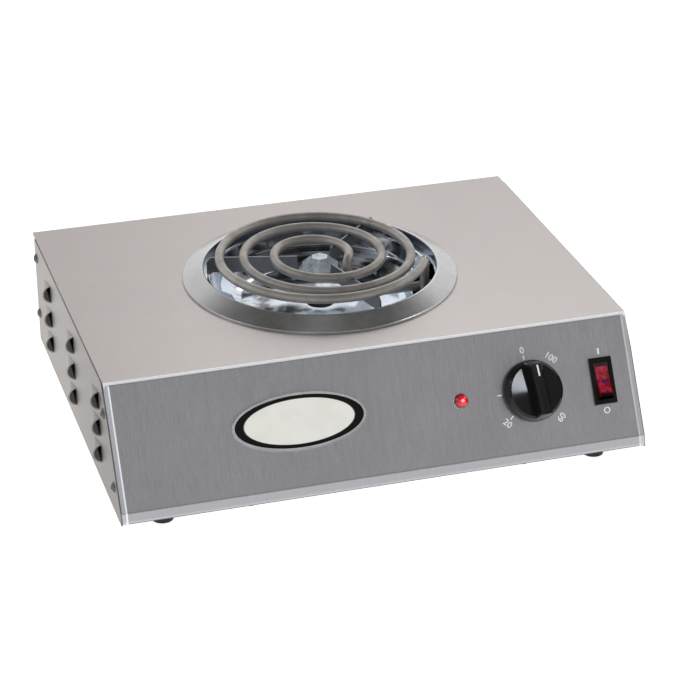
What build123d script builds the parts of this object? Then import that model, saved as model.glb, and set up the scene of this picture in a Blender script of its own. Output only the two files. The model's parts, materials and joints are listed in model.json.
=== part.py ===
"""Single-burner electric hot plate: folded steel housing, lift-up coil element and front controls.

Millimetres. +Z is up, +X is to the right of a person facing the controls, the front faces -Y.
The origin is on the surface that the feet stand on, under the middle of the body.
"""
import os
from math import atan2, cos, radians, sin, tan

from build123d import *

os.makedirs("parts", exist_ok=True)

# ---- driving dimensions --------------------------------------------------------------------
BODY_WIDTH = 362.0          # across the folded shell
BODY_DEPTH = 298.0          # front lower edge to rear upper edge
BODY_TOP = 90.0             # cooking deck above the table
BODY_BOTTOM = 9.0           # underside of the shell above the table
SHEET = 1.0                 # sheet thickness of the shell
SIDE_SHEET = 0.9            # sheet thickness of the side panels
BEND = 2.2                  # outside radius of the folded corners

FRONT_RUN = 43.2            # how far the sloping front comes forward on its way down
STRIP_TOP = 17.0            # top of the upright strip under the sloping front
STRIP_LEAN = 2.0
BACK_INSET = 11.0           # back panel, ahead of the deck's rear edge
BURNER_SETBACK = 167.0      # burner's centre, behind the front lower edge

DECK_HOLE_R = 84.0
RING_R = 97.0               # outer edge of the trim ring
RING_CREST_R = 83.4
RING_RISE = 8.1
RING_WALL_R = 82.0

TUBE_R = 3.25               # heating element sheath
COIL_Z = 104.4              # sheath centre line
LEAD_Z = 78.0               # centre line of the two cold ends
PIVOT_X = 96.0              # element tilt axis, inside the receptacle

CONTROL_S = 44.0            # controls, measured down the sloping front from the deck fold
KNOB_X = 106.6
LAMP_X = 56.0
SWITCH_X = 157.5
BADGE_X = -56.1
BADGE_S = 41.6
KNOB_GAP = 0.8              # knob's skirt above the front
GRIP_H = 21.0               # knob's full height
GRIP_TIP_R = 17.2           # end of the grip bar at its full height

# ---- shared geometry -----------------------------------------------------------------------
SLOPE = atan2(FRONT_RUN, BODY_TOP - STRIP_TOP)      # lean of the front from upright
KNOB_REACH = ((CONTROL_S + GRIP_TIP_R) * sin(SLOPE) + (KNOB_GAP + GRIP_H) * cos(SLOPE)
              - FRONT_RUN - STRIP_LEAN)             # knob, ahead of the front lower edge
FRONT_Y = -(BODY_DEPTH - KNOB_REACH) / 2
REAR_Y = FRONT_Y + BODY_DEPTH
STRIP_Y = FRONT_Y + STRIP_LEAN
DECK_FRONT_Y = STRIP_Y + FRONT_RUN                  # where the deck folds down
BACK_Y = REAR_Y - BACK_INSET
BURNER_Y = FRONT_Y + BURNER_SETBACK
FRONT_PLANE = Plane(origin=(0, DECK_FRONT_Y, BODY_TOP), x_dir=(1, 0, 0),
                    z_dir=(0, -cos(SLOPE), sin(SLOPE)))
HALF = BODY_WIDTH / 2
DECK_UNDER = BODY_TOP - SHEET
FLOOR_Z = BODY_BOTTOM + SHEET            # underside of the base plate
FLOOR_TOP = FLOOR_Z + SHEET


def on_front(x, s, lift=0.0):
    """A place on the sloping front: x across, s down from the deck fold, lift outwards."""
    return FRONT_PLANE.location * Pos(x, -s, lift)


def front_y(z):
    """Y of the sloping front's outer face at height z."""
    return DECK_FRONT_Y - (BODY_TOP - z) * tan(SLOPE)


def block(x0, x1, y0, y1, z0, z1):
    """A box from its lowest and highest coordinates."""
    return Pos((x0 + x1) / 2, (y0 + y1) / 2, (z0 + z1) / 2) * Box(x1 - x0, y1 - y0, z1 - z0)


def rod(radius, start, end):
    """A straight round bar from start to end."""
    axis = Vector(*end) - Vector(*start)
    plane = Plane(origin=start, z_dir=axis)
    return extrude(plane * Circle(radius), amount=axis.length)


def offset_points(points, distance):
    """The points moved to the left of an open polyline by distance."""
    moved = []
    for i, (px, py) in enumerate(points):
        before = points[max(i - 1, 0)]
        after = points[min(i + 1, len(points) - 1)]
        a_in = atan2(py - before[1], px - before[0])
        a_out = atan2(after[1] - py, after[0] - px)
        a_in = a_out if i == 0 else a_in
        a_out = a_in if i == len(points) - 1 else a_out
        half = (a_out - a_in) / 2
        reach = distance / cos(half)
        moved.append((px - reach * sin(a_in + half), py + reach * cos(a_in + half)))
    return moved


def sheet_section(points, thickness, radii):
    """Closed section of a bent sheet: outer points, thickness to the left, one radius per bend."""
    inner = offset_points(points, thickness)
    inner_radii = []
    for i, radius in enumerate(radii, start=1):
        ax, ay = points[i][0] - points[i - 1][0], points[i][1] - points[i - 1][1]
        bx, by = points[i + 1][0] - points[i][0], points[i + 1][1] - points[i][1]
        turn = ax * by - ay * bx
        inner_radii.append(radius - thickness if turn > 0 else radius + thickness)
    outline = FilletPolyline(*points, radius=list(radii)) if radii else Polyline(*points)
    outline += FilletPolyline(*inner, radius=inner_radii) if radii else Polyline(*inner)
    outline += Line(points[0], inner[0])
    outline += Line(points[-1], inner[-1])
    return make_face(outline)


def spun(section, x=0.0, y=BURNER_Y):
    """A section drawn as radius and height, turned once about an upright axis."""
    return Pos(x, y, 0) * revolve(Plane.XZ * section, Axis.Z)


def tube(points, radii, radius):
    """A round wire or sheath along straight runs joined by arcs."""
    path = FilletPolyline(*points, radius=radii) if radii else Line(*points)
    start = Plane(origin=path @ 0, z_dir=path % 0)
    return sweep(start * Circle(radius), path=path)


def pan_screw(length, thread_r=1.9, head_r=4.0, head_h=2.3):
    """Domed screw: head above the origin, thread below it, with a cross recess."""
    dome_r = (head_r ** 2 + head_h ** 2) / (2 * head_h)
    head = Pos(0, 0, head_h - dome_r) * Sphere(dome_r)
    head &= Pos(0, 0, head_h / 2) * Cylinder(head_r, head_h)
    slot = 0.9
    cross = Box(head_r, slot, slot * 2) + Box(slot, head_r, slot * 2)
    return head - Pos(0, 0, head_h) * cross + Pos(0, 0, -length / 2) * Cylinder(thread_r, length)


# ---- housing -------------------------------------------------------------------------------
FLANGE = 12.0               # width of the folded flanges
SHELL_HEM = 10.0            # return under the front strip
SCREW_PLACES = ((FRONT_Y + 43.3, 69.8), (FRONT_Y + 19.1, 28.3),
                (BACK_Y - 7.0, 77.0), (BACK_Y - 7.0, 33.0))       # y and z on each side
SCREW_HOLE_R = 2.0
CONTROL_SCREW_DX = 12.0
BUSH_R = 5.0
SWITCH_CUT = (13.7, 27.7)
LAMP_STEM_R = 4.0


def side_holes(sign, radius=SCREW_HOLE_R):
    """Screw clearance through one side at each of the four places."""
    holes = Part()
    for y, z in SCREW_PLACES:
        holes += rod(radius, (sign * (HALF - 3), y, z), (sign * (HALF + 3), y, z))
    return holes


def top_shell():
    """Deck, sloping front and lower strip in one folded sheet, with flanges for the sides."""
    section = sheet_section(
        [(REAR_Y, BODY_TOP), (DECK_FRONT_Y, BODY_TOP), (STRIP_Y, STRIP_TOP),
         (FRONT_Y, BODY_BOTTOM), (FRONT_Y + SHELL_HEM, BODY_BOTTOM)], SHEET, (BEND, BEND, BEND))
    shell = extrude(Plane.YZ * section, amount=HALF, both=True)
    hem_width = 10.0
    shell += block(-HALF, HALF, REAR_Y - hem_width, REAR_Y, BODY_TOP - 2 * SHEET, DECK_UNDER)
    rear_corner_relief = BACK_INSET + FLANGE + 1.5
    for sign in (-1, 1):
        inner, outer = sorted((sign * (HALF - SHEET), sign * HALF))
        shell += block(inner, outer, DECK_FRONT_Y + FLANGE, REAR_Y - rear_corner_relief,
                       BODY_TOP - FLANGE, BODY_TOP - SHEET / 2)
        top, low = BODY_TOP - 6, STRIP_TOP + 4
        lip = Polyline((front_y(top) + SHEET, top), (front_y(top) + FLANGE + 4, top),
                       (front_y(low) + FLANGE + 4, low), (front_y(low) + SHEET, low), close=True)
        shell += extrude(Plane.YZ.offset(inner) * make_face(lip), amount=outer - inner)
        shell -= side_holes(sign)
    shell -= Pos(0, BURNER_Y, BODY_TOP) * Cylinder(DECK_HOLE_R, 4 * SHEET)
    cut = 6 * SHEET
    shell -= on_front(KNOB_X, CONTROL_S) * Cylinder(BUSH_R + 0.2, cut)
    shell -= on_front(LAMP_X, CONTROL_S) * Cylinder(LAMP_STEM_R + 0.1, cut)
    shell -= on_front(SWITCH_X, CONTROL_S) * Box(*SWITCH_CUT, cut)
    for sign in (-1, 1):
        shell -= on_front(KNOB_X + sign * CONTROL_SCREW_DX, CONTROL_S) * Cylinder(SCREW_HOLE_R, cut)
    for x in BASE_SCREW_X:
        shell -= Pos(x, FRONT_Y + BASE_SCREW_INSET, BODY_BOTTOM) * Cylinder(SCREW_HOLE_R, cut)
    return shell


# scoops pressed out of the side panels: part of a cone whose axis lies inside the housing
SCOOP_Y = (FRONT_Y + 59.5, FRONT_Y + 144.0, FRONT_Y + 228.5)
SCOOP_Z = (71.2, 51.5, 31.8)
SCOOP_MOUTH_R = 7.0
SCOOP_AXIS_DEPTH = 1.3      # axis below the panel's outer face
SCOOP_LENGTH = 26.0


def scoop(y, z, shrink):
    """One scoop's cone, with its open mouth at y facing the front."""
    cone = Cone(SCOOP_MOUTH_R - shrink, SCOOP_AXIS_DEPTH - shrink, SCOOP_LENGTH)
    axis_x = HALF + SIDE_SHEET - SCOOP_AXIS_DEPTH
    return Pos(axis_x, y + SCOOP_LENGTH / 2, z) * Rot(-90, 0, 0) * cone


def right_side_panel():
    """Flat side with nine forward-facing scoops and a flange under the base plate."""
    top = BODY_TOP - 0.6
    bend_gap, corner_gap = 0.9, 3.4
    meet_z = SCREW_PLACES[0][1]
    outline = Polyline(
        (front_y(top) + corner_gap, top), (BACK_Y, top), (BACK_Y, BODY_BOTTOM),
        (FRONT_Y + bend_gap, BODY_BOTTOM), (STRIP_Y + bend_gap, STRIP_TOP),
        (front_y(meet_z) + bend_gap, meet_z), close=True)
    panel = extrude(Plane.YZ.offset(HALF) * make_face(outline), amount=SIDE_SHEET)
    outside = block(HALF, HALF + 9, FRONT_Y, REAR_Y, BODY_BOTTOM, BODY_TOP)
    for y in SCOOP_Y:
        for z in SCOOP_Z:
            panel += scoop(y, z, 0.0) & outside
    for y in SCOOP_Y:
        for z in SCOOP_Z:
            panel -= scoop(y, z, SIDE_SHEET)
    panel += block(HALF - FLANGE, HALF + SIDE_SHEET, FRONT_Y + SHELL_HEM + 1, BACK_Y - FLANGE - 3,
                   BODY_BOTTOM, BODY_BOTTOM + SHEET)
    panel -= side_holes(1)
    for y in BASE_SCREW_Y:
        panel -= Pos(HALF - BASE_SCREW_INSET, y, BODY_BOTTOM) * Cylinder(SCREW_HOLE_R, 6 * SHEET)
    return panel


GLAND_X = 118.0
GLAND_Z = 36.0
GLAND_HOLE_R = 8.0


def back_panel():
    """Rear wall with flanges all round and the supply cord's hole."""
    panel = block(-HALF, HALF, BACK_Y - SHEET, BACK_Y, BODY_BOTTOM, DECK_UNDER - SHEET)
    panel += block(-HALF, HALF, BACK_Y - FLANGE, BACK_Y, DECK_UNDER - SHEET, DECK_UNDER)
    panel += block(-HALF + FLANGE + 2, HALF - FLANGE - 2, BACK_Y - FLANGE, BACK_Y,
                   BODY_BOTTOM, BODY_BOTTOM + SHEET)
    for sign in (-1, 1):
        inner, outer = sorted((sign * (HALF - SHEET), sign * HALF))
        panel += block(inner, outer, BACK_Y - FLANGE, BACK_Y, FLOOR_TOP + 1, DECK_UNDER - SHEET)
        panel -= side_holes(sign)
    panel -= rod(GLAND_HOLE_R, (GLAND_X, BACK_Y - 4, GLAND_Z), (GLAND_X, BACK_Y + 4, GLAND_Z))
    for x in BASE_SCREW_X:
        panel -= Pos(x, BACK_Y - BASE_SCREW_INSET, BODY_BOTTOM) * Cylinder(SCREW_HOLE_R, 6 * SHEET)
    slot_gap, slot_height = 8.0, 26.0
    for i in range(7):
        x = (i - 3) * slot_gap - 60
        slot = Box(3, 6 * SHEET, slot_height)
        panel -= Pos(x, BACK_Y, (BODY_TOP + BODY_BOTTOM) / 2) * slot
    return panel


FOOT_X = 151.0
FOOT_Y = (FRONT_Y + 19.0, FRONT_Y + 263.0)
FOOT_PLACES = {"foot_front_left": (-FOOT_X, FOOT_Y[0]), "foot_front_right": (FOOT_X, FOOT_Y[0]),
               "foot_rear_left": (-FOOT_X, FOOT_Y[1]), "foot_rear_right": (FOOT_X, FOOT_Y[1])}
BASE_SCREW_X = (-95.0, 95.0)
BASE_SCREW_Y = (FRONT_Y + 89.0, FRONT_Y + 219.0)
BASE_SCREW_INSET = 6.0


def base_screw_places():
    """Every place where a screw holds the base plate to the housing."""
    places = [(x, FRONT_Y + BASE_SCREW_INSET) for x in BASE_SCREW_X]
    places += [(x, BACK_Y - BASE_SCREW_INSET) for x in BASE_SCREW_X]
    places += [(sign * (HALF - BASE_SCREW_INSET), y) for sign in (-1, 1) for y in BASE_SCREW_Y]
    return places


def base_plate():
    """Flat floor with cooling slots, resting on the housing's inward flanges."""
    edge = 1.5
    plate = block(-HALF + edge, HALF - edge, FRONT_Y + 2 * edge, BACK_Y - SHEET - 0.3, FLOOR_Z, FLOOR_TOP)
    slot_length, slot_width, slot_pitch = 60.0, 5.0, 16.0
    slots_per_row = 9
    for i in range(slots_per_row):
        x = (i - (slots_per_row - 1) / 2) * slot_pitch
        plate -= Pos(x, BURNER_Y, FLOOR_Z) * Box(slot_width, slot_length, 6 * SHEET)
    for x, y in base_screw_places():
        plate -= Pos(x, y, FLOOR_Z) * Cylinder(1.9, 6 * SHEET)
    for x, y in list(FOOT_PLACES.values()) + [EARTH_AT]:
        plate -= Pos(x, y, FLOOR_Z) * Cylinder(FOOT_SCREW_R + 0.1, 6 * SHEET)
    return plate


FOOT_SCREW_R = 2.0
FOOT_BOTTOM_R, FOOT_TOP_R = 7.2, 8.2


def foot(x, y):
    """Rubber foot with a deep recess for its screw."""
    body = Pos(0, 0, FLOOR_Z / 2) * Cone(FOOT_BOTTOM_R, FOOT_TOP_R, FLOOR_Z)
    body -= Pos(0, 0, 3) * Cylinder(4.4, 6)
    body -= Pos(0, 0, FLOOR_Z) * Cylinder(FOOT_SCREW_R, FLOOR_Z)
    return Pos(x, y, 0) * body


def foot_screws():
    """One screw up through each foot."""
    screws = Part()
    for x, y in FOOT_PLACES.values():
        head_z = 6.0
        screws += Pos(x, y, head_z) * Rot(180, 0, 0) * pan_screw(10.5, FOOT_SCREW_R, 3.8, 2.0)
    return screws


def hex_nut(across, height, hole_r):
    """Plain hexagon nut standing on the origin."""
    nut = extrude(RegularPolygon(across / 2, 6, major_radius=False), amount=height)
    return nut - Pos(0, 0, height / 2) * Cylinder(hole_r, height * 2)


def foot_nuts():
    """The nuts that clamp the feet, inside the housing."""
    nuts = Part()
    for x, y in FOOT_PLACES.values():
        nuts += Pos(x, y, FLOOR_TOP) * hex_nut(7.0, 3.2, FOOT_SCREW_R)
    return nuts


def side_screws(sign):
    """The four domed screws that hold one side panel."""
    screws = Part()
    for y, z in SCREW_PLACES:
        face_x = HALF + SIDE_SHEET
        screws += Pos(sign * face_x, y, z) * Rot(0, sign * 90, 0) * pan_screw(7.0)
    return screws


def base_screws():
    """The screws under the base plate."""
    screws = Part()
    for x, y in base_screw_places():
        screws += Pos(x, y, BODY_BOTTOM) * Rot(180, 0, 0) * pan_screw(6.0, head_h=1.8)
    return screws


# ---- burner --------------------------------------------------------------------------------
RING_SHEET = 0.8
BOWL_SHEET = 0.6
BOWL_FLANGE_R = 88.0
BOWL_LIP_R = 77.5
BOWL_FLOOR_Z = 68.0
BOWL_DRAIN_R = 10.0
NOTCH_Y = (-42.0, 6.0)      # opening for the cold ends, measured from the burner's centre
NOTCH_Z = 72.5


def trim_ring():
    """Raised ring that covers the edge of the deck's hole."""
    rest = BODY_TOP + BOWL_SHEET
    crest = BODY_TOP + RING_RISE
    section = sheet_section(
        [(RING_R, BODY_TOP), (RING_R, BODY_TOP + 1.5), (RING_CREST_R, crest),
         (RING_WALL_R, crest - 0.4), (RING_WALL_R, rest)], RING_SHEET, (1.0, 1.4, 0.85))
    return spun(section)


def drip_bowl():
    """Polished bowl under the coil, hung by its flange, with a way in for the cold ends."""
    top = BODY_TOP + BOWL_SHEET
    section = sheet_section(
        [(BOWL_FLANGE_R, top), (BOWL_LIP_R, top), (BOWL_LIP_R - 4, top - 13),
         (BOWL_LIP_R - 18, top - 21), (BOWL_DRAIN_R, BOWL_FLOOR_Z)], BOWL_SHEET, (1.8, 10.0, 14.0))
    bowl = spun(section)
    notch = block(50, 90, BURNER_Y + NOTCH_Y[0], BURNER_Y + NOTCH_Y[1], NOTCH_Z, top + 1)
    notch &= Pos(0, BURNER_Y, top) * Cylinder(RING_WALL_R - 0.8, 60)
    return bowl - notch


# half turns of the coil: distance from the centre at each end of each half turn
COIL_RADII = (73.5, 70.5, 64.0, 53.5, 43.5, 32.0, 20.5)
COIL_START = radians(-27.0)         # direction of the outer end from the centre
LEG_BEND = 7.0
BLADE_X = 86.0                      # where the cold ends stop and the blades begin


def coil_point(angle, distance, z=COIL_Z):
    """A point at a direction and distance from the burner's centre."""
    return Vector(distance * cos(angle), BURNER_Y + distance * sin(angle), z)


def coil_path():
    """Centre line: outer cold end, half turns winding in clockwise, inner cold end."""
    curves = []
    for i, (near, far) in enumerate(zip(COIL_RADII, COIL_RADII[1:])):
        side = 1 if i % 2 == 0 else -1
        start = coil_point(COIL_START, side * near)
        end = coil_point(COIL_START, -side * far)
        centre = (start + end) / 2
        reach = (near + far) / 2
        middle = centre + Vector(side * sin(COIL_START), -side * cos(COIL_START), 0) * reach
        curves.append(ThreePointArc(start, middle, end))
    first, last = curves[0] @ 0, curves[-1] @ 1
    curves = [leg(first, (curves[0] % 0) * -1)] + curves + [leg(last, curves[-1] % 1)]
    return curves


def leg(start, heading):
    """From the coil down through two bends to a cold end that points to +X."""
    corner = start + heading * LEG_BEND
    low = Vector(corner.X, corner.Y, LEAD_Z)
    end = Vector(BLADE_X, corner.Y, LEAD_Z)
    return FilletPolyline(start, corner, low, end, radius=LEG_BEND - 0.001)


def lead_ys():
    """Y of the outer and inner cold ends."""
    curves = coil_path()
    return (curves[0] @ 1).Y, (curves[-1] @ 1).Y


def heating_coil(radius=TUBE_R):
    """The sheathed element as one bent tube."""
    coil = Part()
    for curve in coil_path():
        for edge in curve.edges():
            start = Plane(origin=edge @ 0, z_dir=edge % 0)
            coil += sweep(start * Circle(radius), path=edge)
    return coil


BLADE_SIZE = (18.0, 1.0, 7.0)


def element_blades():
    """Flat upright blades on the cold ends."""
    blades = Part()
    for y in lead_ys():
        blades += Pos(BLADE_X + BLADE_SIZE[0] / 2, y, LEAD_Z) * Box(*BLADE_SIZE)
    return blades


ARM_ANGLES = (-75.0, 45.0, 165.0)
ARM_END_R = 79.6
ARM_SHEET = 1.4
ARM_BOTTOM = 92.6
HUB_R = 15.0


def coil_support():
    """Three upright arms on a hub, notched for the coil, with toes that stand on the bowl."""
    hub = Pos(0, BURNER_Y, ARM_BOTTOM + ARM_SHEET / 2) * Cylinder(HUB_R, ARM_SHEET)
    toe_r = BOWL_LIP_R + 0.6
    rest_z = BODY_TOP + BOWL_SHEET + 0.3
    outline = Polyline(
        (0, ARM_BOTTOM), (toe_r - 3, ARM_BOTTOM), (toe_r - 1, rest_z), (ARM_END_R, rest_z),
        (ARM_END_R, COIL_Z - TUBE_R - 1), (ARM_END_R - 3, COIL_Z - 0.5), (HUB_R + 1, COIL_Z - 0.5),
        (HUB_R, ARM_BOTTOM + ARM_SHEET), (0, ARM_BOTTOM + ARM_SHEET), close=True)
    strip = extrude(Plane.XZ * make_face(outline), amount=ARM_SHEET / 2, both=True)
    support = hub
    for angle in ARM_ANGLES:
        support += Pos(0, BURNER_Y, 0) * Rot(0, 0, angle) * strip
    return support - heating_coil(TUBE_R + 0.02)


MEDALLION_R = HUB_R - 0.4
MEDALLION_SKIRT = 2.2
MEDALLION_RISE = 7.2
MEDALLION_SLOPE = 46.0      # degrees from upright
MEDALLION_TURN = 12.0


def support_medallion():
    """Six-sided pressed cap over the support's hub."""
    low = ARM_BOTTOM + ARM_SHEET
    outline = RegularPolygon(MEDALLION_R, 6, rotation=MEDALLION_TURN)
    cap = extrude(Plane.XY.offset(low) * outline, amount=MEDALLION_SKIRT)
    cap += extrude(Plane.XY.offset(low + MEDALLION_SKIRT) * outline, amount=MEDALLION_RISE,
                   taper=MEDALLION_SLOPE)
    return Pos(0, BURNER_Y, 0) * cap


# ---- element receptacle --------------------------------------------------------------------
BLOCK_X = (87.5, 118.0)
BLOCK_HALF_Y = 17.0
BLOCK_Z = (68.0, 87.5)
FIXING_Z = BLOCK_Z[0] + 3.0
SLOT_HALF_Z = 7.0
CLIP_GAP = 0.06
CLIP_SHEET = 0.6


def block_y():
    """Y of the receptacle's middle."""
    return sum(lead_ys()) / 2


def receptacle_block():
    """Ceramic block with one slot for each blade."""
    body = block(*BLOCK_X, block_y() - BLOCK_HALF_Y, block_y() + BLOCK_HALF_Y, *BLOCK_Z)
    body = fillet(body.edges().filter_by(Axis.X), 2.0)
    slot_half = 2.6
    for y in lead_ys():
        body -= block(BLOCK_X[0] - 1, BLOCK_X[1] - 3, y - slot_half, y + slot_half,
                      LEAD_Z - SLOT_HALF_Z, LEAD_Z + SLOT_HALF_Z)
        body -= block(BLOCK_X[1] - 4, BLOCK_X[1] + 1, y - CLIP_SHEET - 0.6, y + CLIP_SHEET + 0.6,
                      LEAD_Z - 3.3, LEAD_Z + 3.3)
    return body - rod(1.6, (BLOCK_X[1] - 10, block_y(), FIXING_Z), (BLOCK_X[1] + 1, block_y(), FIXING_Z))


def receptacle_contacts():
    """A pair of spring leaves for each blade, joined to a tail outside the block."""
    contacts = Part()
    front, back, tail = BLOCK_X[0] + 3, BLOCK_X[1] - 4.2, BLOCK_X[1] + 9
    gap = BLADE_SIZE[1] / 2 + CLIP_GAP
    for y in lead_ys():
        for side in (-1, 1):
            y0, y1 = sorted((y + side * gap, y + side * (gap + CLIP_SHEET)))
            contacts += block(front, back, y0, y1, LEAD_Z - 4.5, LEAD_Z + 4.5)
        contacts += block(back - 1, back, y - gap - CLIP_SHEET, y + gap + CLIP_SHEET,
                          LEAD_Z - 3.15, LEAD_Z + 3.15)
        contacts += block(back, tail, y - 0.4, y + 0.4, LEAD_Z - 3.15, LEAD_Z + 3.15)
    return contacts


BRACKET_X = 118.0


def receptacle_bracket():
    """Angle that hangs the receptacle from the deck."""
    y0, y1 = block_y() - BLOCK_HALF_Y - 3, block_y() + BLOCK_HALF_Y + 3
    bracket = block(BRACKET_X, BRACKET_X + SHEET, y0, y1, 62.0, DECK_UNDER)
    bracket += block(BRACKET_X, BRACKET_X + FLANGE + 2, y0, y1, DECK_UNDER - SHEET, DECK_UNDER)
    for y in lead_ys():
        bracket -= block(BRACKET_X - 1, BRACKET_X + 2, y - 2.5, y + 2.5, LEAD_Z - 5, LEAD_Z + 5)
    return bracket - rod(1.8, (BRACKET_X - 1, block_y(), FIXING_Z), (BRACKET_X + 3, block_y(), FIXING_Z))


def receptacle_screw():
    """The screw through the bracket into the ceramic block."""
    return Pos(BRACKET_X + SHEET, block_y(), FIXING_Z) * Rot(0, 90, 0) * pan_screw(9.0, 1.6, 3.0, 1.8)


SHIELD_HALF_X = 98.0
SHIELD_Z = 52.0
SHIELD_Y = (BURNER_Y - 86.0, BURNER_Y + 86.0)


def heat_shield():
    """Hat-shaped shield between the bowl and the base plate."""
    foot_x = SHIELD_HALF_X + FLANGE
    section = sheet_section(
        [(foot_x, FLOOR_TOP + SHEET), (SHIELD_HALF_X, FLOOR_TOP + SHEET), (SHIELD_HALF_X, SHIELD_Z),
         (-SHIELD_HALF_X, SHIELD_Z), (-SHIELD_HALF_X, FLOOR_TOP + SHEET), (-foot_x, FLOOR_TOP + SHEET)],
        SHEET, (BEND, BEND, BEND, BEND))
    shield = extrude(Plane.XZ * section, amount=SHIELD_Y[1] - SHIELD_Y[0])
    shield = Pos(0, SHIELD_Y[1], 0) * shield
    return shield


# ---- heat control --------------------------------------------------------------------------
CASE_SIZE = (34.0, 38.0, 28.0)
CASE_WALL = 1.6
BOARD = 2.0                 # terminal board closing the case
SHAFT_R = 3.0
BUSH_RISE = 0.4
KNOB_R = 20.8
SKIRT_H = 8.6
GRIP_HALF = 3.8
KNOB_REST = 4.5             # degrees the knob stands turned to the left at rest


def knob_place(lift=0.0):
    """Where the turning pieces stand at rest."""
    return on_front(KNOB_X, CONTROL_S, lift) * Rot(0, 0, KNOB_REST)


def control_case():
    """Moulded case behind the front, open at the rear, with the shaft's bushing."""
    width, height, depth = CASE_SIZE
    case = Pos(0, 0, -SHEET - depth / 2) * Box(width, height, depth)
    inside = Box(width - 2 * CASE_WALL, height - 2 * CASE_WALL, depth)
    case -= Pos(0, 0, -SHEET - CASE_WALL - depth / 2) * inside
    case += Pos(0, 0, (BUSH_RISE - SHEET) / 2) * Cylinder(BUSH_R, SHEET + BUSH_RISE)
    case -= Cylinder(SHAFT_R + 0.05, 12)
    for sign in (-1, 1):
        case -= Pos(sign * CONTROL_SCREW_DX, 0, 0) * Cylinder(1.6, 12)
    return on_front(KNOB_X, CONTROL_S) * case


def control_terminal_board():
    """Board that closes the case."""
    width, height, depth = CASE_SIZE
    board = Pos(0, 0, -SHEET - depth - BOARD / 2) * Box(width, height, BOARD)
    for x, y in TAB_PLACES:
        board -= Pos(x, y, -SHEET - depth) * Box(6.4, 0.9, 12)
    return on_front(KNOB_X, CONTROL_S) * board


TAB_PLACES = ((-9.0, 12.0), (9.0, 12.0), (-9.0, -12.0), (9.0, -12.0))
TAB_REACH = 9.0


def control_tabs():
    """Push-on tabs through the terminal board."""
    tabs = Part()
    back = -SHEET - CASE_SIZE[2]
    for x, y in TAB_PLACES:
        tabs += Pos(x, y, back - (TAB_REACH + BOARD) / 2) * Box(6.3, 0.8, TAB_REACH + BOARD)
    return on_front(KNOB_X, CONTROL_S) * tabs


def control_bimetal():
    """Bimetal strip with its contact, beside the cam."""
    back = -SHEET - CASE_SIZE[2]
    strip = Pos(0, 12.0, back + 3 + 0.4) * Box(24.0, 5.0, 0.8)
    strip += Pos(-10.0, 12.0, back + 1.5) * Box(3.0, 5.0, 3.0)
    strip += Pos(10.0, 12.0, back + 4.4) * Cylinder(2.0, 1.6)
    return on_front(KNOB_X, CONTROL_S) * strip


def control_screws():
    """The two screws that hold the case, under the knob."""
    screws = Part()
    for sign in (-1, 1):
        screws += on_front(KNOB_X + sign * CONTROL_SCREW_DX, CONTROL_S) * pan_screw(6.0, 1.6, 3.2, 1.6)
    return screws


CAM_R = 8.0
SHAFT_BOTTOM = -24.0
SHAFT_TOP = 15.0
FLAT_DEPTH = 1.4


def shaft_flat(radius, low, high):
    """A round shaft with one flat, as a solid between two heights."""
    solid = Pos(0, 0, (low + high) / 2) * Cylinder(radius, high - low)
    return solid - Pos(0, radius - FLAT_DEPTH + 5, (low + high) / 2) * Box(20, 10, high - low)


def control_shaft():
    """Turned shaft from the cam to the knob, with a flat along its outer half."""
    shaft = Pos(0, 0, (SHAFT_BOTTOM + BUSH_RISE) / 2) * Cylinder(SHAFT_R, BUSH_RISE - SHAFT_BOTTOM)
    shaft += shaft_flat(SHAFT_R, BUSH_RISE, SHAFT_TOP)
    return knob_place() * shaft


def control_cam():
    """Snail cam on the shaft's inner end."""
    cam_z, cam_h = -19.0, 5.0
    lobe = Pos(1.6, 0, cam_z) * Cylinder(CAM_R - 1.6, cam_h) + Pos(0, 0, cam_z) * Cylinder(CAM_R - 2, cam_h)
    return knob_place() * (lobe - Pos(0, 0, cam_z) * Cylinder(SHAFT_R, cam_h * 2))


KNOB_WALL = 2.0
KNOB_HOLLOW = SKIRT_H - KNOB_WALL - 0.5
KNOB_HUB_R = 6.0


def control_knob():
    """Round skirt with a raised grip bar and a hub for the shaft."""
    skirt = Polyline(
        (0, 0), (KNOB_R, 0), (KNOB_R, 2.2), (KNOB_R - 0.5, 3.0), (KNOB_R - 1.6, SKIRT_H - 1.6),
        (KNOB_R - 3.2, SKIRT_H), (0, SKIRT_H + 0.6), close=True)
    body = revolve(Plane.XZ * make_face(skirt), Axis.Z)
    bar = Polyline(
        (-GRIP_HALF - 1.4, 2), (-GRIP_HALF, GRIP_H - 1.6), (-GRIP_HALF + 1.4, GRIP_H),
        (GRIP_HALF - 1.4, GRIP_H), (GRIP_HALF, GRIP_H - 1.6), (GRIP_HALF + 1.4, 2), close=True)
    bar = extrude(Plane.XZ * make_face(bar), amount=KNOB_R, both=True)
    bar &= Pos(0, 0, GRIP_H / 2) * Cone(KNOB_R - 0.3, GRIP_TIP_R, GRIP_H)
    body += bar
    body -= Pos(0, 0, KNOB_HOLLOW / 2 - 0.5) * Cylinder(KNOB_R - KNOB_WALL, KNOB_HOLLOW + 1)
    body += Pos(0, 0, SKIRT_H / 2) * Cylinder(KNOB_HUB_R, SKIRT_H)
    body -= shaft_flat(SHAFT_R, -1, SHAFT_TOP - KNOB_GAP)
    return knob_place(KNOB_GAP) * body


def knob_spring():
    """Clip ring around the knob's hub that grips the shaft."""
    ring = Pos(0, 0, 3.0) * (Cylinder(KNOB_HUB_R + 0.8, 3.0) - Cylinder(KNOB_HUB_R, 3.0))
    ring -= Pos(0, -6, 3.0) * Box(2.0, 6, 4)
    return knob_place(KNOB_GAP) * ring


# ---- pilot lamp ----------------------------------------------------------------------------
LENS_R = 5.15
LENS_RISE = 4.4


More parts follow.
